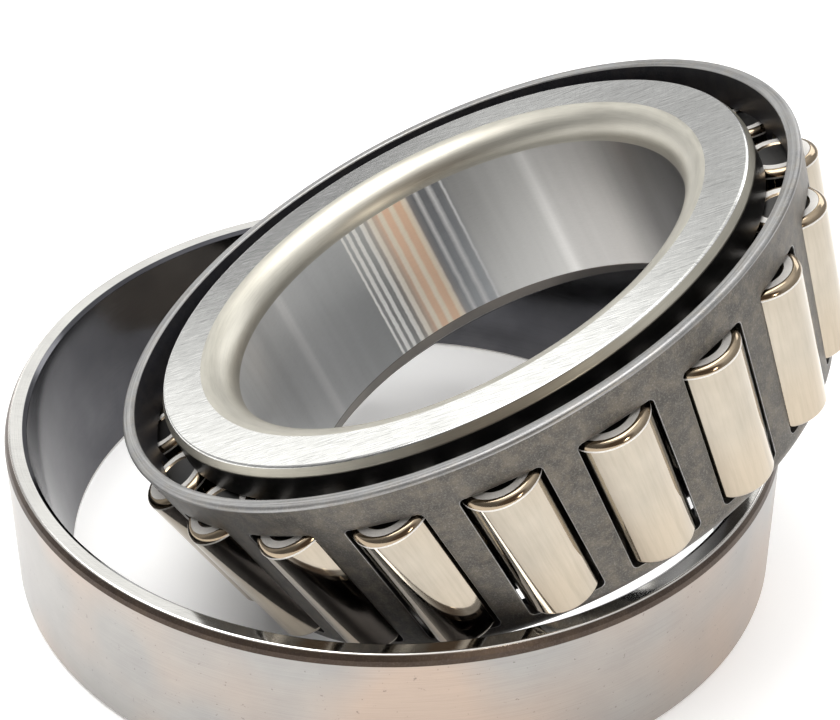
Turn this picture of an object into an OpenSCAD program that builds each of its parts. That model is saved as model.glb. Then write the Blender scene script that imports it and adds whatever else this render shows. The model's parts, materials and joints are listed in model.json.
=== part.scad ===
/* [Cup] */
// Outside diameter of the cup
outside_d = 82; // [81.8:0.1:83]
// Width of the cup
cup_w = 17; // [16.8:0.1:17.2]
// Angle between the cup raceway and the cup's axis, in degrees
cup_angle = 11.7; // [11.6:0.05:11.8]
// Diameter of the cup raceway at the open (front) face
mouth_d = 77.4; // [77.2:0.1:77.6]
// Height of the relief around the outside of the cup's front face
cup_front_relief = 1.05; // [0.5:0.05:1.3]
// Corner at the outside of the cup's back face
cup_back_corner = 0.5; // [0.3:0.1:1]

/* [Cone] */
// Bore diameter of the cone
bore_d = 50; // [49.6:0.1:50.4]
// Width of the cone
cone_w = 21.5; // [21.4:0.1:21.8]
// Radius of the corner between the bore and the back face
bore_corner = 3; // [2:0.25:3.5]
// Diameter of the large rib beside the back face
rib_d = 65.7; // [65:0.1:66.2]
// Diameter of the small rib beside the front face
small_rib_d = 57.4; // [57:0.1:57.8]
// Length of the lead-in chamfer at the small end of the bore
lead_in = 1.9; // [1:0.1:2.2]

/* [Rollers] */
// Large-end diameter of a roller
roller_d = 8.2; // [8:0.05:8.3]
// Length of a roller
roller_len = 16.3; // [16:0.1:16.4]
// Corner radius at the large end of a roller
roller_corner = 0.9; // [0.4:0.1:1.1]
// Turn of the first roller from the raised side of the assembly, in degrees
roller_phase = 13; // [0:0.5:17.5]

/* [Cage] */
// Outside diameter of the cage's large rim
cage_d = 75.2; // [74.8:0.1:75.6]
// Thickness of the cage's wall
cage_t = 1.48; // [1.3:0.02:1.5]
// Angle between the cage's wall and its axis, in degrees
cage_angle = 11.2; // [11.1:0.05:11.3]
// Gap between a roller's flank and the sides of its window
window_gap = 0.36; // [0.25:0.01:0.4]
// Width of the small-end lip, from its bend inwards
lip_w = 2; // [1:0.25:2.25]

/* [Rest pose] */
// Lean of the cone assembly as it lies in the cup, in degrees
lean = 25.4; // [25.4:0.1:25.8]
// Distance that the assembly's back face sits to the raised side of the cup's axis
rest_x = 5.45; // [5.25:0.05:5.5]
// Gap left between touching pieces of the cup and the cone assembly at rest
rest_gap = 0.12; // [0.1:0.01:0.3]

/* [Hidden] */
$fn = 180;
roller_count = 20;
pitch = 360 / roller_count;

// Distances called t run along the assembly's axis, from the cone's back
// face towards its small end. Every raceway and every roller is part of a
// cone whose point is the same apex, on the axis at t = apex_t.
seat_t = cone_w - cup_w;
apex_t = seat_t + mouth_d / 2 / tan(cup_angle);
outer_t = seat_t + 0.8;
slant = (apex_t - outer_t) / cos(cup_angle);
half_taper = asin(roller_d / 2 / slant);
roller_lean = cup_angle - half_taper;
race_angle = cup_angle - 2 * half_taper;
// Distance from the apex, along a roller's own axis, of its two ends
far_l = slant * cos(half_taper);
near_l = far_l - roller_len;

race_gap = 0.05;
rib_gap = 0.1;
small_rib_gap = 0.22;
end_gap = 0.3;
small_corner = 0.5;

function race_r(t) = (apex_t - t) * tan(race_angle) - race_gap / cos(race_angle);
// t of a plane square to the roller's axis at distance l, at radius r
function end_t(l, r) = apex_t - l * cos(roller_lean) + (r - l * sin(roller_lean)) * tan(roller_lean);
function cage_r(t) = cage_d / 2 - (t - rim_t) * tan(cage_angle);
function arc(c, r, a0, a1, n) = [for (i = [0:n]) let (a = a0 + (a1 - a0) * i / n) [c[0] + r * cos(a), c[1] + r * sin(a)]];

rim_t = 0.6;
bend_r = 1.9;
bend_t = 21.4;
bend_c = cage_r(bend_t) - bend_r / cos(cage_angle);
wall = cage_t / cos(cage_angle);
lip_end = bend_c - lip_w;

rib_r = rib_d / 2;
small_rib_r = small_rib_d / 2;
bore_r = bore_d / 2;
out_r = outside_d / 2;

// The lowest point of the leaning cage is on its small-end bend
rest_z = rest_gap + bend_t * cos(lean) + bend_c * sin(lean) + bend_r;

module assembly_place() {
    translate([rest_x, 0, rest_z]) rotate([0, -lean, 0]) children();
}

module cup() {
    race_foot = mouth_d / 2 - cup_w * tan(cup_angle);
    color([0.66, 0.65, 0.63]) rotate_extrude() polygon([
        [race_foot + 0.3, 0],
        [out_r - cup_back_corner, 0],
        [out_r - cup_back_corner * 0.29, cup_back_corner * 0.29],
        [out_r, cup_back_corner],
        [out_r, cup_w - cup_front_relief],
        [out_r - 0.2, cup_w - cup_front_relief * 0.5],
        [out_r - 0.42, cup_w - cup_front_relief * 0.14],
        [out_r - 0.6, cup_w],
        [mouth_d / 2 + 0.35, cup_w],
        [mouth_d / 2 - 0.35 * tan(cup_angle), cup_w - 0.35],
        [race_foot + 0.3 * tan(cup_angle), 0.3]
    ]);
}

module cone() {
    // Ends of the two ribs' inner faces, with an undercut beside each
    rib_in = end_t(far_l, rib_r - 0.25) - rib_gap;
    rib_foot_r = race_r(4) - 0.3;
    rib_foot = end_t(far_l, rib_foot_r) - rib_gap;
    sm_in = end_t(near_l, small_rib_r - 0.1) + small_rib_gap;
    sm_foot_r = race_r(20) - 0.25;
    sm_foot = end_t(near_l, sm_foot_r) + small_rib_gap;
    color([0.74, 0.73, 0.71]) rotate_extrude() polygon([
        each [for (p = arc([bore_r + bore_corner, bore_corner], bore_corner, 180, 270, 14)) [p[0], -p[1]]],
        [rib_r - 0.3, 0],
        [rib_r - 0.1, -0.1],
        [rib_r, -0.35],
        [rib_r, -rib_in + 0.3],
        [rib_r - 0.25, -rib_in],
        [rib_foot_r, -rib_foot],
        [rib_foot_r, -rib_foot - 0.7],
        [race_r(rib_foot + 1), -rib_foot - 1],
        [race_r(sm_foot - 0.8), -sm_foot + 0.8],
        [sm_foot_r, -sm_foot + 0.55],
        [sm_foot_r, -sm_foot],
        [small_rib_r - 0.1, -sm_in],
        [small_rib_r, -sm_in - 0.1],
        [small_rib_r, -cone_w + 0.35],
        [small_rib_r - 0.35, -cone_w],
        [bore_r + 0.9, -cone_w],
        [bore_r, -cone_w + lead_in]
    ]);
}

module window_cutter() {
    // A roller's own taper, opened by the side gap and longer at both ends
    lo = near_l - end_gap;
    hi = far_l + end_gap;
    translate([0, 0, -apex_t]) rotate([0, roller_lean, 0])
        translate([0, 0, lo])
            cylinder(h = hi - lo, r1 = lo * tan(half_taper) + window_gap, r2 = hi * tan(half_taper) + window_gap);
}

module cage() {
    lip_t = bend_t + bend_r;
    in_bend = bend_r - cage_t;
    color([0.27, 0.27, 0.28]) difference() {
        rotate_extrude() polygon([
            [cage_r(rim_t) - wall + 0.25, -rim_t],
            [cage_r(rim_t) - 0.3, -rim_t],
            [cage_r(rim_t) - 0.1, -rim_t - 0.08],
            [cage_r(rim_t + 0.3), -rim_t - 0.3],
            each [for (p = arc([bend_c, bend_t], bend_r, -cage_angle, 90, 10)) [p[0], -p[1]]],
            [lip_end, -lip_t],
            [lip_end, -lip_t + cage_t],
            each [for (p = arc([bend_c, bend_t], in_bend, 90, -cage_angle, 6)) [p[0], -p[1]]],
            [cage_r(rim_t + 0.3) - wall, -rim_t - 0.3],
            [cage_r(rim_t) - wall + 0.08, -rim_t - 0.08]
        ]);
        for (i = [0:roller_count - 1]) rotate([0, 0, roller_phase + i * pitch]) window_cutter();
    }
}

module roller(i) {
    big_r = far_l * tan(half_taper);
    sm_r = near_l * tan(half_taper);
    color([0.8, 0.79, 0.76])
        rotate([0, 0, roller_phase + i * pitch]) translate([0, 0, -apex_t]) rotate([0, roller_lean, 0])
            rotate_extrude($fn = 96) polygon([
                [0, near_l + 0.12],
                [1.6, near_l + 0.12],
                [1.75, near_l],
                each arc([sm_r - small_corner, near_l + small_corner], small_corner, 270, 360, 6),
                each arc([big_r - roller_corner, far_l - roller_corner], roller_corner, 0, 84, 9),
                [2.1, far_l],
                [1.9, far_l - 0.15],
                [0, far_l - 0.15]
            ]);
}

module seat_roller(i) {
    assembly_place() roller(i);
}

cup();
assembly_place() cone();
assembly_place() cage();
seat_roller(0);  // roller_01
seat_roller(1);  // roller_02
seat_roller(2);  // roller_03
seat_roller(3);  // roller_04
seat_roller(4);  // roller_05
seat_roller(5);  // roller_06
seat_roller(6);  // roller_07
seat_roller(7);  // roller_08
seat_roller(8);  // roller_09
seat_roller(9);  // roller_10
seat_roller(10);  // roller_11
seat_roller(11);  // roller_12
seat_roller(12);  // roller_13
seat_roller(13);  // roller_14
seat_roller(14);  // roller_15
seat_roller(15);  // roller_16
seat_roller(16);  // roller_17
seat_roller(17);  // roller_18
seat_roller(18);  // roller_19
seat_roller(19);  // roller_20
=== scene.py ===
import json
import math
import bpy
import numpy as np
from mathutils import Matrix, Vector


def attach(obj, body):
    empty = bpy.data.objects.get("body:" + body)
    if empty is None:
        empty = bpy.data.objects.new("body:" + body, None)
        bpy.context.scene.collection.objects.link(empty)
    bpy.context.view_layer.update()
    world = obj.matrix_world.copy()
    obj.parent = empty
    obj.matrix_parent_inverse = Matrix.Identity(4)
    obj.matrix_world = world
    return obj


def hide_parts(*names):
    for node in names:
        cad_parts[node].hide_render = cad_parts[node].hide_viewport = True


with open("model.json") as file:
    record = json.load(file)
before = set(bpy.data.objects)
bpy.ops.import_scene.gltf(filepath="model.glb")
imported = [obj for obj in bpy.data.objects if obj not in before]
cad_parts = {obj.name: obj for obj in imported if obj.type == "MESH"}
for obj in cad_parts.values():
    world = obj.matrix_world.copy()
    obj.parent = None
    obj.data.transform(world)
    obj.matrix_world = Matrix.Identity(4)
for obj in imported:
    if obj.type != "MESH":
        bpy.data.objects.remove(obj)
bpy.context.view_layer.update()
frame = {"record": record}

MM = 0.001

# ---------------------------------------------------------------- dimensions
# Sizes in millimetres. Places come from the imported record's mounts.
CUP_W, OUT_R, MOUTH_R, CUP_ANGLE = 17.0, 41.0, 38.7, math.radians(11.7)
CONE_W, BORE_R, CORNER, RIB_R, SMALL_RIB_R, LEAD_IN = 21.5, 25.0, 3.0, 32.85, 28.7, 1.9
ROLLER_R, ROLLER_LEN, COUNT, PHASE = 4.1, 16.3, 20, math.radians(13.0)
CAGE_R, CAGE_T, CAGE_ANGLE, RIM_T = 37.6, 1.48, math.radians(11.2), 0.6
BEND_R, BEND_T, LIP_W = 1.9, 21.4, 2.0

SEAT = CONE_W - CUP_W
APEX = SEAT + MOUTH_R / math.tan(CUP_ANGLE)
SLANT = (APEX - SEAT - 0.8) / math.cos(CUP_ANGLE)
TAPER = math.asin(ROLLER_R / SLANT)
LEAN_R = CUP_ANGLE - TAPER
RACE = CUP_ANGLE - 2 * TAPER
FAR = SLANT * math.cos(TAPER)
NEAR = FAR - ROLLER_LEN

mounts = {m["name"]: m for m in frame["record"]["mounts"]}
P = Vector(mounts["cone_back_face"]["pos_m"])
AX = Vector(mounts["cone_back_face"]["axis"]).normalized()
YY = Vector((0, 1, 0))
XX = YY.cross(AX).normalized()
ASSEMBLY = Matrix(((XX.x, YY.x, AX.x, P.x), (XX.y, YY.y, AX.y, P.y), (XX.z, YY.z, AX.z, P.z), (0, 0, 0, 1)))


def race_r(t):
    return (APEX - t) * math.tan(RACE) - 0.05 / math.cos(RACE)


def end_t(l, r):
    return APEX - l * math.cos(LEAN_R) + (r - l * math.sin(LEAN_R)) * math.tan(LEAN_R)


def cage_r(t):
    return CAGE_R - (t - RIM_T) * math.tan(CAGE_ANGLE)


# ---------------------------------------------------------------- mesh makers
def rounded(poly, fine=9.0):
    """Closed anticlockwise (r, z, corner radius, finish) list to rows of (r, z, normal r, normal z, finish)."""
    out = []
    n = len(poly)
    for i in range(n):
        a, b, c = (np.array(poly[j % n][:2], float) for j in (i - 1, i, i + 1))
        rad, tag = poly[i][2], poly[i][3]
        d1 = (b - a) / np.linalg.norm(b - a)
        d2 = (c - b) / np.linalg.norm(c - b)
        turn = math.atan2(d1[0] * d2[1] - d1[1] * d2[0], d1 @ d2)
        if abs(turn) < 1e-4:
            out.append((b[0], b[1], d1[1], -d1[0], tag, poly[i - 1][3]))
            continue
        cut = rad * math.tan(abs(turn) / 2)
        cut = min(cut, 0.49 * np.linalg.norm(b - a), 0.49 * np.linalg.norm(c - b))
        rad = cut / math.tan(abs(turn) / 2)
        s = math.copysign(1, turn)
        start = b - d1 * cut
        n1 = np.array([d1[1], -d1[0]])
        centre = start - s * n1 * rad
        k = max(2, int(math.ceil(abs(math.degrees(turn)) / fine)))
        for j in range(k + 1):
            an = turn * j / k
            nn = np.array([n1[0] * math.cos(an) - n1[1] * math.sin(an), n1[0] * math.sin(an) + n1[1] * math.cos(an)])
            p = centre + s * nn * rad
            out.append((p[0], p[1], nn[0], nn[1], tag, poly[i - 1][3] if j < k else tag))
    return out


def axial(me, own, matrix):
    """Keeps each point's place in its own part, in millimetres, and the direction round its axis, for the materials."""
    turn = np.array(matrix.to_3x3())
    a = me.attributes.new("axial", "FLOAT_VECTOR", "POINT")
    a.data.foreach_set("vector", (own / MM).astype(np.float32).ravel())
    flat = np.stack([-own[:, 1], own[:, 0], np.zeros(len(own))], 1)
    size = np.linalg.norm(flat, axis=1, keepdims=True)
    flat = np.where(size > 1e-9, flat / np.maximum(size, 1e-9), np.array([1.0, 0, 0]))
    b = me.attributes.new("round", "FLOAT_VECTOR", "POINT")
    b.data.foreach_set("vector", (flat @ turn.T).astype(np.float32).ravel())


def lathe(name, rows, n, mats, matrix):
    """Turns a closed profile and sets it in place. Each row's finish names the material of the face that follows it."""
    names = list(mats)
    m = len(rows)
    th = np.linspace(0, 2 * math.pi, n, endpoint=False)
    co, no, start, count = [], [], [], []
    for r, z, nr, nz, _, _ in rows:
        k = 1 if r < 1e-6 else n          # a row on the axis is a single point
        start.append(sum(count))
        count.append(k)
        co.append(np.stack([r * np.cos(th[:k]), r * np.sin(th[:k]), np.full(k, z)], 1))
        no.append(np.stack([nr * np.cos(th[:k]), nr * np.sin(th[:k]), np.full(k, nz)], 1))
    own = np.concatenate(co) * MM
    full = np.array(matrix)
    co = own @ full[:3, :3].T + full[:3, 3]
    no = np.concatenate(no) @ full[:3, :3].T
    faces, idx = [], []
    for i in range(m):
        i2 = (i + 1) % m
        if rows[i][0] < 1e-6 and rows[i2][0] < 1e-6:
            continue
        for j in range(n):
            j2 = (j + 1) % n
            ring = (start[i] + j % count[i], start[i2] + j % count[i2], start[i2] + j2 % count[i2], start[i] + j2 % count[i])
            faces.append(tuple(dict.fromkeys(ring))[::-1])
            idx.append(names.index(rows[i][4]))
    me = bpy.data.meshes.new(name)
    me.from_pydata(co.tolist(), [], faces)
    for k in names:
        me.materials.append(mats[k])
    me.polygons.foreach_set("material_index", idx)
    me.polygons.foreach_set("use_smooth", [True] * len(faces))
    me.update()
    me.normals_split_custom_set_from_vertices(no.tolist())
    axial(me, own, matrix)
    ob = bpy.data.objects.new(name, me)
    bpy.context.scene.collection.objects.link(ob)
    return ob


def place(ob, body):
    bpy.context.view_layer.update()
    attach(ob, body)
    return ob


# ---------------------------------------------------------------- materials
class Nodes:
    def __init__(self, name):
        self.mat = bpy.data.materials.new(name)
        self.mat.use_nodes = True
        self.t = self.mat.node_tree
        self.t.nodes.clear()
        self.out = self.t.nodes.new("ShaderNodeOutputMaterial")
        self.bsdf = self.t.nodes.new("ShaderNodeBsdfPrincipled")
        self.t.links.new(self.bsdf.outputs[0], self.out.inputs[0])

    def new(self, kind, **kw):
        nd = self.t.nodes.new(kind)
        for k, v in kw.items():
            setattr(nd, k, v)
        return nd

    def link(self, a, b):
        self.t.links.new(a, b)

    def math(self, op, a, b=None, clamp=False):
        nd = self.new("ShaderNodeMath", operation=op, use_clamp=clamp)
        for i, v in enumerate((a, b)):
            if v is None:
                continue
            if isinstance(v, (int, float)):
                nd.inputs[i].default_value = v
            else:
                self.link(v, nd.inputs[i])
        return nd.outputs[0]

    def coords(self, attribute=True):
        """The part's own coordinates in millimetres."""
        if attribute:
            return self.new("ShaderNodeAttribute", attribute_name="axial").outputs["Vector"]
        tc = self.new("ShaderNodeTexCoord")
        mp = self.new("ShaderNodeMapping")
        mp.inputs["Scale"].default_value = (1000, 1000, 1000)
        self.link(tc.outputs["Object"], mp.inputs["Vector"])
        return mp.outputs[0]

    def tangent(self):
        at = self.new("ShaderNodeAttribute", attribute_name="round")
        vt = self.new("ShaderNodeVectorTransform", vector_type="VECTOR", convert_from="OBJECT", convert_to="WORLD")
        self.link(at.outputs["Vector"], vt.inputs[0])
        self.link(vt.outputs[0], self.bsdf.inputs["Tangent"])

    def scaled(self, vec, s, rot=(0, 0, 0)):
        mp = self.new("ShaderNodeMapping")
        mp.inputs["Scale"].default_value = s
        mp.inputs["Rotation"].default_value = rot
        self.link(vec, mp.inputs["Vector"])
        return mp.outputs[0]

    def noise(self, vec, scale, detail=2.0, rough=0.5):
        nd = self.new("ShaderNodeTexNoise")
        nd.inputs["Scale"].default_value = scale
        nd.inputs["Detail"].default_value = detail
        nd.inputs["Roughness"].default_value = rough
        self.link(vec, nd.inputs["Vector"])
        return nd.outputs["Fac"]

    def ramp(self, fac, stops):
        nd = self.new("ShaderNodeValToRGB")
        els = nd.color_ramp.elements
        while len(els) < len(stops):
            els.new(0.5)
        for e, (p, c) in zip(els, stops):
            e.position = p
            e.color = (c, c, c, 1) if isinstance(c, (int, float)) else (*c, 1)
        self.link(fac, nd.inputs[0])
        return nd.outputs[0]

    def mix(self, fac, a, b):
        nd = self.new("ShaderNodeMix", data_type="RGBA")
        for key, v in ((0, fac), (6, a), (7, b)):
            if isinstance(v, tuple):
                nd.inputs[key].default_value = (*v, 1)
            elif isinstance(v, (int, float)):
                nd.inputs[key].default_value = v
            else:
                self.link(v, nd.inputs[key])
        return nd.outputs[2]

    def polar(self, vec):
        """Angle-free ring coordinates: unit direction round the axis, radius, height."""
        sp = self.new("ShaderNodeSeparateXYZ")
        self.link(vec, sp.inputs[0])
        x, y, z = sp.outputs
        r = self.math("SQRT", self.math("ADD", self.math("MULTIPLY", x, x), self.math("MULTIPLY", y, y)))
        ux, uy = self.math("DIVIDE", x, r), self.math("DIVIDE", y, r)
        return ux, uy, r, z

    def combine(self, x, y, z):
        nd = self.new("ShaderNodeCombineXYZ")
        for i, v in enumerate((x, y, z)):
            if isinstance(v, (int, float)):
                nd.inputs[i].default_value = v
            else:
                self.link(v, nd.inputs[i])
        return nd.outputs[0]

    def bump(self, height, strength, distance):
        nd = self.new("ShaderNodeBump")
        nd.inputs["Strength"].default_value = strength
        nd.inputs["Distance"].default_value = distance
        self.link(height, nd.inputs["Height"])
        self.link(nd.outputs[0], self.bsdf.inputs["Normal"])


def steel(name, base, dark, rough, lay, aniso=0.0, spread=0.08, bump=0.12, specks=0.0, warm=None, metal=1.0):
    """Bare steel. lay is the direction of its grinding marks: round, face, axial or cross."""
    m = Nodes(name)
    v = m.coords()
    ux, uy, r, z = m.polar(v)
    if lay == "round":       # marks run round the part: fine in height and in radius
        a = m.combine(m.math("MULTIPLY", ux, 5.0), m.math("MULTIPLY", uy, 5.0), m.math("MULTIPLY", z, 14.0))
        b = m.combine(m.math("MULTIPLY", ux, 14.0), m.math("MULTIPLY", uy, 14.0), m.math("MULTIPLY", z, 40.0))
    elif lay == "face":      # marks run round on a flat face
        a = m.combine(m.math("MULTIPLY", ux, 7.0), m.math("MULTIPLY", uy, 7.0), m.math("MULTIPLY", r, 16.0))
        b = m.scaled(v, (0.55, 9.0, 1.0), (0, 0, 0.7))
    elif lay == "axial":     # faint smudges drawn out along a roller
        a = m.combine(m.math("MULTIPLY", ux, 5.0), m.math("MULTIPLY", uy, 5.0), m.math("MULTIPLY", z, 0.10))
        b = m.combine(m.math("MULTIPLY", ux, 16.0), m.math("MULTIPLY", uy, 16.0), m.math("MULTIPLY", z, 0.25))
    elif lay == "scratched":  # a ground face with fine scratches in every direction
        a = m.scaled(v, (0.35, 11.0, 1.0), (0, 0, 0.35))
        b = m.scaled(v, (9.0, 0.30, 1.0), (0, 0, 0.9))
    else:                    # crossed, from tumbling and handling
        a = m.scaled(v, (0.5, 8.0, 3.0), (0, 0, 0.5))
        b = m.scaled(v, (7.0, 0.6, 3.0), (0, 0, 1.0))
    fine = m.noise(a, 1.0, 3.0, 0.65)
    cross = m.noise(b, 1.0, 2.0, 0.6)
    if lay == "scratched":
        third = m.noise(m.scaled(v, (0.4, 12.0, 1.0), (0, 0, 2.3)), 1.0, 2.0, 0.6)
        even = m.noise(v, 1.6, 4.0, 0.65)
        fine = m.math("ADD", m.math("MULTIPLY", fine, 0.14), m.math("ADD", m.math("MULTIPLY", third, 0.14), m.math("MULTIPLY", even, 0.72)))
    cloud = m.noise(v, 0.16, 3.0, 0.6)
    grain = m.math("ADD", m.math("MULTIPLY", fine, 0.6), m.math("MULTIPLY", cross, 0.4))
    tint = m.ramp(cloud, [(0.3, dark), (0.68, base)])
    if warm is not None:
        tint = m.mix(m.ramp(m.noise(v, 0.07, 1.0), [(0.42, 0.0), (0.7, 0.75)]), tint, warm)
    streak = m.ramp(grain, [(0.36, 0.90 if lay in ("axial", "scratched") else 0.86), (0.56, 1.0)])
    if lay == "scratched":   # long single scratches, some lighter and some darker than the face
        for k, (turned, across, along, level, tone) in enumerate(((0.35, 7.5, 0.30, 0.635, 1.25), (1.05, 8.5, 0.36, 0.64, 0.70), (1.85, 7.0, 0.28, 0.635, 0.72), (2.60, 9.0, 0.40, 0.645, 1.25))):
            line = m.noise(m.scaled(v, (along, across, 1.0), (0, 0, turned)), 1.0, 1.0, 0.5)
            hit = m.ramp(line, [(level, 0.0), (level + 0.02, 1.0)])
            streak = m.mix(hit, streak, (tone, tone, tone))
    colour = m.mix(1.0, tint, streak)
    m.t.nodes[-1].blend_type = "MULTIPLY"
    if specks:
        dots = m.ramp(m.noise(v, 2.4, 2.0, 0.5), [(0.70, 0.0), (0.745, specks)])
        colour = m.mix(dots, colour, (0.10, 0.09, 0.085))
    m.link(colour, m.bsdf.inputs["Base Color"])
    m.link(m.math("ADD", m.math("MULTIPLY", m.math("SUBTRACT", grain, 0.5), spread * 3), rough), m.bsdf.inputs["Roughness"])
    m.bsdf.inputs["Metallic"].default_value = metal
    if aniso:
        m.bsdf.inputs["Anisotropic"].default_value = aniso
        m.tangent()
        m.bsdf.inputs["Anisotropic Rotation"].default_value = 0.25
    m.bump(grain, bump, 0.00001)
    return m.mat


def phosphate(name, base, light, rough=0.5, worn=0.0):
    """Dark matte conversion coat on pressed steel, with bright specks where it is rubbed."""
    m = Nodes(name)
    v = m.coords()
    ux, uy, r, z = m.polar(v)
    grit = m.noise(v, 5.5, 4.0, 0.7)
    fine = m.noise(v, 16.0, 2.0, 0.6)
    cloud = m.noise(v, 0.22, 3.0, 0.6)
    ring = m.math("ADD", m.math("MULTIPLY", r, 5.0), m.math("MULTIPLY", z, 5.0))
    rub = m.noise(m.combine(m.math("MULTIPLY", ux, 2.2), m.math("MULTIPLY", uy, 2.2), ring), 1.0, 3.0, 0.6)
    tint = m.ramp(cloud, [(0.3, base), (0.7, tuple(min(1, c * 1.6) for c in base))])
    mottle = m.noise(v, 0.75, 3.0, 0.6)
    tint = m.mix(m.ramp(mottle, [(0.42, 0.0), (0.66, 0.55)]), tint, tuple(c * k for c, k in zip(light, (0.66, 0.60, 0.51))))
    tint = m.mix(m.ramp(grit, [(0.50, 0.0), (0.70, 0.55)]), tint, light)
    tint = m.mix(m.ramp(fine, [(0.60, 0.0), (0.74, 0.9)]), tint, light)
    if worn:
        tint = m.mix(m.ramp(rub, [(0.40, 0.0), (0.62, worn)]), tint, tuple(min(1, c * 1.8) for c in light))
    m.link(tint, m.bsdf.inputs["Base Color"])
    m.bsdf.inputs["Metallic"].default_value = 0.75
    m.link(m.math("ADD", m.math("MULTIPLY", m.math("SUBTRACT", grit, 0.5), 0.3), rough), m.bsdf.inputs["Roughness"])
    m.bump(m.math("ADD", m.math("MULTIPLY", grit, 0.7), m.math("MULTIPLY", fine, 0.3)), 0.45, 0.00004)
    return m.mat


def bore_steel_painted_streaks(name):
    """Ground bore: fine marks round it, and a patch of painted reflection streaks along it, with a broad painted tone
    round the bore.
    """
    m = Nodes(name)
    v = m.coords()
    ux, uy, r, z = m.polar(v)
    turn = m.math("MULTIPLY", m.math("ARCTAN2", uy, ux), 180 / math.pi)     # degrees
    low = m.combine(m.math("MULTIPLY", ux, 9.0), m.math("MULTIPLY", uy, 9.0), m.math("MULTIPLY", z, 0.02))
    grind = m.noise(m.combine(m.math("MULTIPLY", ux, 30.0), m.math("MULTIPLY", uy, 30.0), m.math("MULTIPLY", z, 22.0)), 1.0, 3.0, 0.7)
    band = m.noise(low, 1.0, 3.0, 0.6)
    wave = m.noise(m.combine(m.math("MULTIPLY", ux, 120.0), m.math("MULTIPLY", uy, 120.0), m.math("MULTIPLY", z, 0.05)), 1.0, 2.0, 0.6)
    # painted reflection: broad light and dark tone round the bore, set by the angle round it
    t01 = m.math("DIVIDE", m.math("ADD", turn, 180.0), 360.0)
    def at(deg):
        return (deg + 180.0) / 360.0
    tone = m.ramp(t01, [(at(-180), (0.74, 0.75, 0.75)), (at(-100), (0.48, 0.48, 0.48)), (at(20), (0.14, 0.14, 0.145)), (at(48), (0.24, 0.235, 0.23)), (at(62), (0.52, 0.505, 0.485)),
                        (at(78), (0.52, 0.51, 0.495)), (at(80.5), (0.72, 0.71, 0.69)), (at(83), (0.53, 0.525, 0.51)), (at(102), (0.52, 0.52, 0.51)), (at(104), (0.36, 0.375, 0.39)), (at(112.4), (0.36, 0.375, 0.39)),
                        (at(113.4), (0.95, 0.66, 0.46)), (at(121), (0.95, 0.67, 0.48)), (at(123), (0.74, 0.62, 0.52)), (at(126), (0.50, 0.51, 0.50)), (at(133), (0.58, 0.595, 0.595)), (at(156), (0.72, 0.73, 0.73)), (at(158), (0.95, 0.95, 0.945)), (at(160.5), (0.72, 0.73, 0.73))])
    # narrow painted reflection streaks: centre in degrees, half width, strength
    painted_streak_marks = [(132.7, 0.34, 0.85), (130.9, 0.52, 1.0), (128.9, 0.52, 1.0), (126.3, 0.62, 1.0), (123.8, 0.68, 0.95), (120.7, 0.72, 0.85), (117.3, 0.75, 0.75), (113.7, 0.75, 0.8),
             (110.1, 0.70, 0.42), (106.4, 0.85, 0.42), (103.0, 0.40, 0.50)]
    jitter = m.math("MULTIPLY", m.math("SUBTRACT", m.noise(m.combine(m.math("MULTIPLY", z, 0.9), m.math("MULTIPLY", ux, 6.0), uy), 1.0, 3.0, 0.7), 0.5), 0.5)
    where = m.math("ADD", turn, jitter)
    total = None
    for c, w, k in painted_streak_marks:
        off = m.math("ABSOLUTE", m.math("SUBTRACT", where, c))
        part = m.math("MULTIPLY", m.math("SUBTRACT", 1.0, m.math("DIVIDE", off, w * 1.35), clamp=True), k)
        total = part if total is None else m.math("MAXIMUM", total, part)
    # mask of the painted reflection streaks
    line = m.math("SMOOTH_MIN", m.math("MULTIPLY", total, 2.3), 1.0)
    # painted reflection: cream to peach colour of the streaks
    painted_streak_colour = m.ramp(t01, [(at(102), (0.78, 0.79, 0.80)), (at(112), (0.80, 0.80, 0.80)), (at(113.2), (1.0, 0.88, 0.70)), (at(123), (1.0, 0.92, 0.78)), (at(127), (1.0, 1.0, 0.97))])
    colour = m.mix(m.math("MULTIPLY", line, 0.95), tone, painted_streak_colour)
    colour2 = m.mix(1.0, colour, m.ramp(m.math("ADD", m.math("MULTIPLY", grind, 0.45), m.math("MULTIPLY", band, 0.55)), [(0.3, 0.84), (0.6, 1.0)]))
    m.t.nodes[-1].blend_type = "MULTIPLY" if m.t.nodes[-1].bl_idname == "ShaderNodeMix" else m.t.nodes[-1].blend_type
    for nd in m.t.nodes:
        if nd.bl_idname == "ShaderNodeMix" and nd.outputs[2] == colour2:
            nd.blend_type = "MULTIPLY"
    m.link(colour2, m.bsdf.inputs["Base Color"])
    # painted reflection: streaks and broad bands lose metal, so they show as lighter matte bands
    painted_streak_matte = m.ramp(t01, [(at(-180), 0.30), (at(-120), 0.10), (at(40), 0.0), (at(112.4), 0.05), (at(113.6), 0.85), (at(121), 0.82), (at(125), 0.20), (at(160), 0.30)])
    m.link(m.math("SUBTRACT", 1.0, m.math("MAXIMUM", m.math("MULTIPLY", line, 0.90), painted_streak_matte)), m.bsdf.inputs["Metallic"])
    m.link(m.math("ADD", m.math("ADD", m.math("MULTIPLY", line, 0.20), m.math("MULTIPLY", m.math("SUBTRACT", grind, 0.5), 0.2)), 0.32), m.bsdf.inputs["Roughness"])
    m.bsdf.inputs["Anisotropic"].default_value = 0.6
    m.bsdf.inputs["Anisotropic Rotation"].default_value = 0.25
    m.tangent()
    m.bump(m.math("ADD", m.math("MULTIPLY", grind, 0.6), m.math("MULTIPLY", wave, 0.4)), 0.10, 0.00001)
    return m.mat


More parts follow.
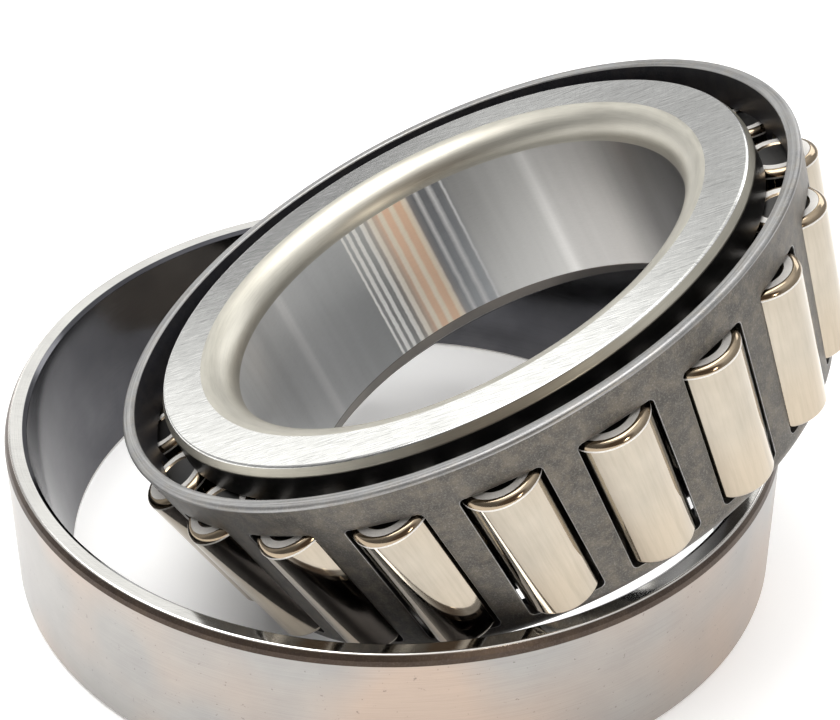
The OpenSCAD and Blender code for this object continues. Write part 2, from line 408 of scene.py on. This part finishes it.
M = {
    "cup_od": steel("cup_outside", (0.405, 0.395, 0.38), (0.36, 0.35, 0.34), 0.34, "round", aniso=0.45, specks=0.5, warm=(0.54, 0.415, 0.33)),
    "cup_rim": steel("cup_front_face", (0.74, 0.73, 0.71), (0.66, 0.65, 0.635), 0.10, "face", bump=0.05, spread=0.04),
    "cup_relief": phosphate("cup_relief_band", (0.055, 0.040, 0.032), (0.15, 0.12, 0.10), 0.36),
    "cup_edge": steel("cup_front_edge", (0.80, 0.77, 0.73), (0.70, 0.67, 0.63), 0.22, "round"),
    # painted shade: the cup's raceway is given far darker steel than its other ground faces, for the shade inside the
    # cup
    "cup_race": steel("cup_raceway_painted_shade", (0.12, 0.12, 0.13), (0.09, 0.09, 0.10), 0.12, "round", bump=0.05),
    "cup_back": steel("cup_back_face", (0.60, 0.59, 0.57), (0.52, 0.51, 0.50), 0.30, "face"),
    "cone_face": steel("cone_back_face", (0.72, 0.72, 0.70), (0.65, 0.65, 0.63), 0.165, "scratched", spread=0.04, bump=0.06, specks=0.10),
    "cone_edge": steel("cone_rib_edge", (0.51, 0.485, 0.41), (0.42, 0.40, 0.34), 0.38, "round"),
    "cone_corner": steel("cone_bore_corner", (0.57, 0.55, 0.485), (0.51, 0.49, 0.43), 0.42, "round", bump=0.04),
    "cone_bore": bore_steel_painted_streaks("cone_bore"),
    # painted shade: the bore's lead-in is given dark brown steel, a warm shadow band at the bore's edge
    "cone_lead": steel("cone_lead_in_painted_shade", (0.17, 0.15, 0.13), (0.11, 0.10, 0.09), 0.34, "round"),
    # painted shade: the cone's ribs are given near-black steel, for the shade between the cone and the cage
    "cone_rib": steel("cone_rib", (0.16, 0.155, 0.15), (0.10, 0.10, 0.10), 0.32, "round"),
    "cone_race": steel("cone_raceway", (0.56, 0.55, 0.53), (0.50, 0.49, 0.48), 0.15, "round", bump=0.05),
    "cage": phosphate("cage_wall", (0.066, 0.062, 0.056), (0.28, 0.265, 0.245), 0.44),
    "cage_rim": phosphate("cage_rim", (0.17, 0.17, 0.17), (0.40, 0.40, 0.40), 0.36, worn=0.30),
    # painted shade: the cage's inside takes a far darker copy of the same coat, for the shade inside the bearing
    "cage_in": phosphate("cage_inside_painted_shade", (0.012, 0.012, 0.016), (0.05, 0.05, 0.06), 0.5),
    # painted shade: the window edges take a darker copy of the coat, so the gaps round the rollers read black
    "cage_cut": phosphate("cage_window_edge_painted_shade", (0.035, 0.035, 0.036), (0.12, 0.12, 0.12), 0.40),
    "roller": steel("roller_flank", (0.47, 0.425, 0.355), (0.41, 0.365, 0.30), 0.075, "axial", bump=0.04, spread=0.03, warm=(0.50, 0.42, 0.32)),
    # painted shade: the roller's large-end corner is given darker, browner steel than its flank, for the dark crescent
    # under the cage
    "roller_corner": steel("roller_corner", (0.42, 0.34, 0.245), (0.33, 0.26, 0.18), 0.13, "round", bump=0.03),
    "roller_recess": steel("roller_recess", (0.10, 0.095, 0.09), (0.06, 0.06, 0.06), 0.35, "face", bump=0.08),
    # painted highlight: the roller ends are given near-white, part-matte steel so they read light in the windows
    "roller_end": steel("roller_end", (0.88, 0.86, 0.82), (0.78, 0.76, 0.73), 0.45, "face", bump=0.08, metal=0.45),
}

# ---------------------------------------------------------------- cup
foot = MOUTH_R - CUP_W * math.tan(CUP_ANGLE)
cup_rows = rounded([
    (foot + 0.3, 0, 0.12, "cup_back"),
    (OUT_R - 0.42, 0, 0.15, "cup_od"),
    (OUT_R, 0.42, 0.15, "cup_od"),
    (OUT_R, CUP_W - 1.05, 0.10, "cup_relief"),
    (OUT_R - 0.17, CUP_W - 0.56, 0.25, "cup_relief"),
    (OUT_R - 0.60, CUP_W, 0.34, "cup_rim"),
    (MOUTH_R + 0.35, CUP_W, 0.08, "cup_race"),
    (MOUTH_R - 0.35 * math.tan(CUP_ANGLE), CUP_W - 0.35, 0.15, "cup_race"),
    (foot + 0.3 * math.tan(CUP_ANGLE), 0.3, 0.12, "cup_back"),
])
cup_rows = [(*row[:4], "cup_edge", row[5]) if row[0] > OUT_R - 0.62 and row[0] < OUT_R and row[1] > CUP_W - 0.32 and 0.10 < row[2] else row for row in cup_rows]
cup = lathe("cup_ring", cup_rows, 512, {k: M[k] for k in ("cup_od", "cup_rim", "cup_relief", "cup_edge", "cup_race", "cup_back")}, Matrix.Identity(4))
place(cup, "cup")
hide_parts("cup")

# ---------------------------------------------------------------- cone
rib_in = end_t(FAR, RIB_R - 0.25) - 0.1
rf_r = race_r(4) - 0.3
rf_t = end_t(FAR, rf_r) - 0.1
sm_in = end_t(NEAR, SMALL_RIB_R - 0.1) + 0.22
sf_r = race_r(20) - 0.25
sf_t = end_t(NEAR, sf_r) + 0.22
cone_rows = rounded([
    (BORE_R, 0, CORNER, "cone_bore"),
    (BORE_R, -CONE_W + LEAD_IN, 0.25, "cone_lead"),
    (BORE_R + 1.5, -CONE_W, 0.2, "cone_face"),
    (SMALL_RIB_R, -CONE_W, 0.35, "cone_rib"),
    (SMALL_RIB_R, -sm_in, 0.12, "cone_rib"),
    (sf_r, -sf_t, 0.08, "cone_rib"),
    (sf_r, -sf_t + 0.55, 0.08, "cone_rib"),
    (race_r(sf_t - 0.8), -sf_t + 0.8, 0.1, "cone_race"),
    (race_r(rf_t + 1), -rf_t - 1, 0.1, "cone_rib"),
    (rf_r, -rf_t - 0.7, 0.08, "cone_rib"),
    (rf_r, -rf_t, 0.08, "cone_rib"),
    (RIB_R - 0.02, -rib_in - 0.01, 0.28, "cone_rib"),
    (RIB_R, -0.92, 0.40, "cone_edge"),
    (RIB_R - 0.52, 0, 0.35, "cone_face"),
], fine=6.0)
# the large corner between the bore and the back face is finished apart from both
fixed = []
for row in cone_rows:
    r, z, nr, nz, tag, prev = row
    if z > -CORNER - 1e-6 and r < BORE_R + CORNER + 0.02 and nz < 0.9999 and nr < 0:
        tag = "cone_corner"
    fixed.append((r, z, nr, nz, tag, prev))
# rows run anticlockwise, so the corner is met going from the back face to the bore
for i, row in enumerate(fixed):
    nxt = fixed[(i + 1) % len(fixed)]
    if row[1] > -1e-6 and abs(row[0] - BORE_R - CORNER) < 0.02:
        fixed[i] = (*row[:4], "cone_corner", row[5])
    if abs(row[0] - BORE_R) < 1e-6 and abs(row[1] + CORNER) < 0.02:
        fixed[i] = (*row[:4], "cone_bore", row[5])
cone = lathe("cone_ring", fixed, 512, {k: M[k] for k in ("cone_face", "cone_edge", "cone_corner", "cone_bore", "cone_lead", "cone_rib", "cone_race")}, ASSEMBLY)
place(cone, "cone")
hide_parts("cone")

# ---------------------------------------------------------------- rollers
big, small = FAR * math.tan(TAPER), NEAR * math.tan(TAPER)
roller_rows = rounded([
    (0.0, NEAR + 0.12, 0.0, "roller_end"),
    (1.60, NEAR + 0.12, 0.08, "roller_end"),
    (1.75, NEAR, 0.06, "roller_end"),
    (small, NEAR, 0.5, "roller"),
    (big, FAR, 1.1, "roller_end"),
    (2.50, FAR, 0.05, "roller_recess"),
    (2.30, FAR - 0.15, 0.1, "roller_recess"),
    (0.0, FAR - 0.15, 0.0, "roller_recess"),
], fine=7.0)
rows = []
for r, z, nr, nz, tag, prev in roller_rows:
    if r < 1e-6:
        nr, nz = 0.0, math.copysign(1, z - (FAR + NEAR) / 2)
    # rows of the large end's corner take the painted-shade corner steel
    if r > 2.3 and nz > 0.12 and nz < 0.999 and z > FAR - 1.15:
        tag = "roller_corner"
    rows.append((r, z, nr, nz, tag, prev))
roller_mats = {k: M[k] for k in ("roller", "roller_corner", "roller_recess", "roller_end")}
for i in range(COUNT):
    name = "roller_%02d" % (i + 1)
    ph = PHASE + 2 * math.pi * i / COUNT
    local = Matrix.Rotation(ph, 4, "Z") @ Matrix.Translation((0, 0, -APEX * MM)) @ Matrix.Rotation(LEAN_R, 4, "Y")
    ob = lathe(name + "_body", rows, 96, roller_mats, ASSEMBLY @ local)
    place(ob, name)
    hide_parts(name)


# ---------------------------------------------------------------- cage
def outline(hw_top, hw_bot, t_top, t_bot, rc, notch):
    """Half of a window's edge as (side distance, t), from the middle of the top to the middle of the bottom."""
    pts = []
    def hw(t):
        return hw_top + (hw_bot - hw_top) * (t - t_top) / (t_bot - t_top)
    # top edge: a shallow relief over the roller's centre
    xs = np.linspace(0, hw(t_top) - rc, 13)
    for x in xs:
        k = min(1.0, abs(x) / (0.52 * hw_top))
        pts.append((x, t_top - notch * (0.5 + 0.5 * math.cos(math.pi * k))))
    for a in np.linspace(0, 90, 9)[1:]:
        a = math.radians(a)
        t = t_top + rc - rc * math.cos(a)
        pts.append((hw(t_top) - rc + rc * math.sin(a) + (hw(t) - hw(t_top)) * math.sin(a), t))
    for t in np.linspace(t_top + rc, t_bot - rc, 15)[1:]:
        pts.append((hw(t), t))
    for a in np.linspace(0, 90, 9)[1:]:
        a = math.radians(a)
        t = t_bot - rc + rc * math.sin(a)
        pts.append((hw(t_bot) - rc + rc * math.cos(a) + (hw(t) - hw(t_bot)) * math.cos(a), t))
    for x in np.linspace(hw(t_bot) - rc, 0, 10)[1:]:
        pts.append((x, t_bot))
    return pts


def full(half):
    left = [(-x, t) for x, t in half[1:-1]][::-1]
    return half + left


wall = CAGE_T / math.cos(CAGE_ANGLE)
T0, T1 = 3.3, BEND_T + 0.02
T_TOP = 4.66
T_BOT = 21.26
out_half = outline(4.00, 3.74, T_TOP, T_BOT, 0.55, 0.0)
in_half = outline(4.43, 4.10, T_TOP - 0.30, T_BOT - 0.30, 0.45, 0.0)
chm_half = outline(4.00 + 0.10, 3.74 + 0.10, T_TOP - 0.10, T_BOT + 0.08, 0.62, 0.0)
N_HALF = len(out_half)
i_tr = 13 + 4 - 1       # middle of the top corner's arc
i_br = 13 + 8 + 14 + 4 - 1
half_pitch = math.pi / COUNT


def frame_half():
    """The sector's border, point for point with the window's half outline, as (angle, t)."""
    pts = []
    for i in range(N_HALF):
        if i <= i_tr:
            pts.append((half_pitch * i / i_tr, T0))
        elif i <= i_br:
            pts.append((half_pitch, T0 + (T1 - T0) * (i - i_tr) / (i_br - i_tr)))
        else:
            pts.append((half_pitch * (N_HALF - 1 - i) / (N_HALF - 1 - i_br), T1))
    return pts


border = full(frame_half())
def to_angle(pts, inset):
    return [(x / (cage_r(t) - inset), t) for x, t in pts]
lo_out, lo_chm, lo_in = to_angle(full(out_half), 0.12), to_angle(full(chm_half), 0.0), to_angle(full(in_half), wall)
RINGS = 4

verts, faces, fmat = [], [], []
key = {}
def vert(ang, r, t):
    k = (round(math.cos(ang) * r, 5), round(math.sin(ang) * r, 5), round(t, 5))
    if k not in key:
        key[k] = len(verts)
        verts.append((r * math.cos(ang) * MM, r * math.sin(ang) * MM, -t * MM))
    return key[k]
def quad(a, b, c, d, tag, flip=False):
    f = [a, b, c, d]
    if len(set(f)) < 3:
        return
    f = [v for i, v in enumerate(f) if v != f[i - 1]]
    faces.append(f[::-1] if flip else f)
    fmat.append(tag)

top_ang = [half_pitch * i / i_tr for i in range(-i_tr, i_tr)]
nb = N_HALF - 1 - i_br
bot_ang = [half_pitch * i / nb for i in range(-nb, nb)]
def strip_profile(pts, tags, angs):
    """Rows of (r, t) turned round the axis with the given angles in each sector."""
    ring = [PHASE + 2 * half_pitch * s + a for s in range(COUNT) for a in angs]
    for i in range(len(pts) - 1):
        (r1, t1), (r2, t2) = pts[i], pts[i + 1]
        for j in range(len(ring)):
            a1, a2 = ring[j], ring[(j + 1) % len(ring)]
            quad(vert(a1, r1, t1), vert(a2, r1, t1), vert(a2, r2, t2), vert(a1, r2, t2), tags[i])

for s in range(COUNT):
    c = PHASE + 2 * half_pitch * s
    n = len(border)
    for j in range(n):
        j2 = (j + 1) % n
        for (edge, inset, flip, tag) in ((lo_chm, 0.0, False, "cage"), (lo_in, wall, True, "cage_in")):
            for k in range(RINGS):
                f1, f2 = k / RINGS, (k + 1) / RINGS
                q = []
                for jj, f in ((j, f1), (j2, f1), (j2, f2), (j, f2)):
                    a = border[jj][0] * (1 - f) + edge[jj][0] * f
                    t = border[jj][1] * (1 - f) + edge[jj][1] * f
                    q.append(vert(c + a, cage_r(t) - inset, t))
                quad(*q, tag, flip)
        # rounded outer edge, then the cut face through the wall; the inner part of the rounding and the cut face take
        # the painted shade of the window-edge coat
        mids = []
        for jj in (j, j2):
            a1, t1 = lo_chm[jj]
            a2, t2 = lo_out[jj]
            mids.append((a1 * 0.35 + a2 * 0.65, t1 * 0.35 + t2 * 0.65))
        A = [vert(c + lo_chm[jj][0], cage_r(lo_chm[jj][1]), lo_chm[jj][1]) for jj in (j, j2)]
        B = [vert(c + m[0], cage_r(m[1]) - 0.035, m[1]) for m in mids]
        C = [vert(c + lo_out[jj][0], cage_r(lo_out[jj][1]) - 0.13, lo_out[jj][1]) for jj in (j, j2)]
        D = [vert(c + lo_in[jj][0], cage_r(lo_in[jj][1]) - wall, lo_in[jj][1]) for jj in (j, j2)]
        quad(A[0], A[1], B[1], B[0], "cage_rim")
        quad(B[0], B[1], C[1], C[0], "cage_cut")
        quad(C[0], C[1], D[1], D[0], "cage_cut")

# rim: outer wall up to the rolled edge, over it, and down the inside
rim = [(cage_r(T0), T0)]
for t in (2.4, 1.6, 1.1):
    rim.append((cage_r(t), t))
rt = []
rc = 0.42
for a in np.linspace(0, 90, 7):
    a = math.radians(a)
    t = RIM_T + rc - rc * math.sin(a)
    rt.append((cage_r(RIM_T + rc) - rc + rc * math.cos(a), t))
ri = cage_r(RIM_T) - wall
rc2 = 0.3
for a in np.linspace(0, 90, 6):
    a = math.radians(a)
    rt.append((ri + rc2 - rc2 * math.sin(a), RIM_T + rc2 - rc2 * math.cos(a)))
rim += rt
for t in (1.4, 2.2):
    rim.append((cage_r(t) - wall, t))
rim.append((cage_r(T0) - wall, T0))
tags = []
for i in range(len(rim) - 1):
    mid = (rim[i][1] + rim[i + 1][1]) / 2
    tags.append("cage" if i < 3 else "cage_in" if i >= 3 + len(rt) - 1 else "cage_rim")
strip_profile(rim, tags, top_ang)
# small end: round the bend to the lip, and back up the inside
centre = cage_r(BEND_T) - BEND_R / math.cos(CAGE_ANGLE)
low = []
for a in np.linspace(math.degrees(-CAGE_ANGLE), 90, 14):
    a = math.radians(a)
    low.append((centre + BEND_R * math.cos(a), BEND_T + BEND_R * math.sin(a)))
lip = centre - LIP_W
low += [(lip + 0.2, BEND_T + BEND_R), (lip, BEND_T + BEND_R - 0.2), (lip, BEND_T + BEND_R - CAGE_T + 0.2), (lip + 0.2, BEND_T + BEND_R - CAGE_T)]
inner = BEND_R - CAGE_T
for a in np.linspace(90, math.degrees(-CAGE_ANGLE), 7):
    a = math.radians(a)
    low.append((centre + inner * math.cos(a), BEND_T + inner * math.sin(a)))
low = [(cage_r(T1), T1)] + [p for p in low if not (p[1] < T1 and p[0] > centre + BEND_R * 0.9)]
low = [p for p in low if not (p[0] > centre + inner * 0.5 and p[0] < centre + inner * 1.2 and p[1] < T1)] + [(cage_r(T1) - wall, T1)]
strip_profile(low[::-1][::-1], ["cage" if p[0] > centre - 0.1 and i < 14 else "cage_in" for i, p in enumerate(low[:-1])], bot_ang)

me = bpy.data.meshes.new("cage_shell")
own = np.array(verts)
whole = np.array(ASSEMBLY)
me.from_pydata((own @ whole[:3, :3].T + whole[:3, 3]).tolist(), [], faces)
cage_names = ["cage", "cage_rim", "cage_in", "cage_cut"]
for k in cage_names:
    me.materials.append(M[k])
me.polygons.foreach_set("material_index", [cage_names.index(k) for k in fmat])
me.polygons.foreach_set("use_smooth", [True] * len(faces))
me.update()
import bmesh
bm = bmesh.new()
bm.from_mesh(me)
bmesh.ops.recalc_face_normals(bm, faces=bm.faces)
bm.to_mesh(me)
bm.free()
me.set_sharp_from_angle(angle=math.radians(38))
axial(me, own, ASSEMBLY)
cage = bpy.data.objects.new("cage_shell", me)
bpy.context.scene.collection.objects.link(cage)
place(cage, "cage")
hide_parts("cage")

# ---------------------------------------------------------------- stage
bpy.ops.mesh.primitive_plane_add(size=6.0, location=(0, 0, 0))
floor = bpy.context.object
floor.name = "floor"
fm = Nodes("floor_white")
fv = fm.coords(False)
fm.link(fm.ramp(fm.noise(fv, 0.02, 3.0), [(0.3, (0.90, 0.90, 0.905)), (0.7, (0.93, 0.93, 0.93))]), fm.bsdf.inputs["Base Color"])
fm.bsdf.inputs["Roughness"].default_value = 0.55
fm.bsdf.inputs["Emission Color"].default_value = (1.0, 0.995, 0.985, 1)
# painted shadow: the floor's own glow fades out where the leaning assembly keeps the room's light off it
painted_shadow_spot = fm.new("ShaderNodeMapping")
painted_shadow_spot.inputs["Location"].default_value = (0.16, 1.22, 0.0)
painted_shadow_spot.inputs["Scale"].default_value = (0.030, 0.052, 0.0)
fm.link(fv, painted_shadow_spot.inputs["Vector"])
dist = fm.new("ShaderNodeVectorMath", operation="LENGTH")
fm.link(painted_shadow_spot.outputs[0], dist.inputs[0])
fm.link(fm.math("MULTIPLY", fm.ramp(dist.outputs["Value"], [(0.25, 0.04), (1.0, 1.0)]), 0.34), fm.bsdf.inputs["Emission Strength"])
floor.data.materials.append(fm.mat)

# ---------------------------------------------------------------- light
world = bpy.data.worlds.new("studio") if bpy.context.scene.world is None else bpy.context.scene.world
bpy.context.scene.world = world
world.use_nodes = True
wt = world.node_tree
wt.nodes.clear()
wo = wt.nodes.new("ShaderNodeOutputWorld")
bg = wt.nodes.new("ShaderNodeBackground")
tc = wt.nodes.new("ShaderNodeTexCoord")
sp = wt.nodes.new("ShaderNodeSeparateXYZ")
rp = wt.nodes.new("ShaderNodeValToRGB")
wt.links.new(tc.outputs["Generated"], sp.inputs[0])
wt.links.new(sp.outputs[2], rp.inputs[0])
wt.links.new(rp.outputs[0], bg.inputs[0])
wt.links.new(bg.outputs[0], wo.inputs[0])
els = rp.color_ramp.elements
els[0].position, els[0].color = 0.0, (0.55, 0.55, 0.55, 1)
els[1].position, els[1].color = 1.0, (1.30, 1.30, 1.30, 1)
for at_z, level in ((0.12, 0.50), (0.45, 0.52), (0.70, 0.70), (0.88, 1.15)):
    e = els.new(at_z)
    e.color = (level, level, level * 1.01, 1)


def lobe(direction, wide, tight, colour, base):
    """Adds a soft patch of light round one direction of the room."""
    d = Vector(direction).normalized()
    dot = wt.nodes.new("ShaderNodeVectorMath")
    dot.operation = "DOT_PRODUCT"
    wt.links.new(tc.outputs["Generated"], dot.inputs[0])
    dot.inputs[1].default_value = d
    mr = wt.nodes.new("ShaderNodeMapRange")
    mr.interpolation_type = "SMOOTHSTEP"
    mr.inputs["From Min"].default_value = math.cos(math.radians(wide))
    mr.inputs["From Max"].default_value = math.cos(math.radians(tight))
    wt.links.new(dot.outputs["Value"], mr.inputs["Value"])
    mx = wt.nodes.new("ShaderNodeMix")
    mx.data_type = "RGBA"
    mx.blend_type = "MIX"
    wt.links.new(mr.outputs[0], mx.inputs[0])
    wt.links.new(base, mx.inputs[6])
    mx.inputs[7].default_value = (*colour, 1)
    return mx.outputs[2]


sky = lobe((0.10, -0.90, 0.34), 50, 30, (0.15, 0.115, 0.09), rp.outputs[0])
sky = lobe((-0.80, -0.55, 0.22), 45, 15, (0.20, 0.20, 0.20), sky)
sky = lobe((-0.25, 0.72, 0.65), 24, 8, (1.15, 1.15, 1.12), sky)
sky = lobe((-0.57, 0.765, 0.30), 13, 5, (1.80, 1.80, 1.77), sky)
sky = lobe((-0.50, 0.85, 0.150), 8.5, 2.5, (0.24, 0.24, 0.25), sky)
wt.links.new(sky, bg.inputs[0])
bg.inputs[1].default_value = 1.0


def area(name, loc, target, size, size_y, power, colour=(1, 1, 1)):
    li = bpy.data.lights.new(name, "AREA")
    li.shape = "RECTANGLE"
    li.size, li.size_y, li.energy, li.color = size, size_y, power, colour
    ob = bpy.data.objects.new(name, li)
    bpy.context.scene.collection.objects.link(ob)
    ob.location = loc
    d = Vector(target) - Vector(loc)
    ob.rotation_mode = "QUATERNION"
    ob.rotation_quaternion = d.to_track_quat("-Z", "Y")
    return ob


area("key", (-0.30, 0.10, 0.85), (0, 0, 0.02), 0.72, 0.72, 6.5, (1.0, 0.99, 0.97))
area("back", (0.25, 0.75, 0.50), (0, 0, 0.03), 0.6, 0.3, 1.3)
area("warm", (0.45, -0.65, 0.35), (0, 0, 0.02), 0.10, 0.22, 1.0, (1.0, 0.90, 0.76))
bpy.context.scene.view_settings.view_transform = "Standard"

# ---------------------------------------------------------------- camera
F_PX = 2148.744
CAM_AT = Vector((28.5143, -184.2405, 149.71)) * MM
RIGHT = Vector((0.990357, 0.138535, 0.001067))
DOWN = Vector((0.079277, -0.560386, -0.824428))
FWD = Vector((-0.113615, 0.816563, -0.565965))
cam_data = bpy.data.cameras.new("view")
cam_data.sensor_width = 36.0
cam_data.lens = F_PX / 840.0 * 36.0
cam_data.clip_start, cam_data.clip_end = 0.01, 20
cam = bpy.data.objects.new("view", cam_data)
bpy.context.scene.collection.objects.link(cam)
cam.matrix_world = Matrix((
    (RIGHT.x, -DOWN.x, -FWD.x, CAM_AT.x),
    (RIGHT.y, -DOWN.y, -FWD.y, CAM_AT.y),
    (RIGHT.z, -DOWN.z, -FWD.z, CAM_AT.z),
    (0, 0, 0, 1)))
bpy.context.scene.camera = cam
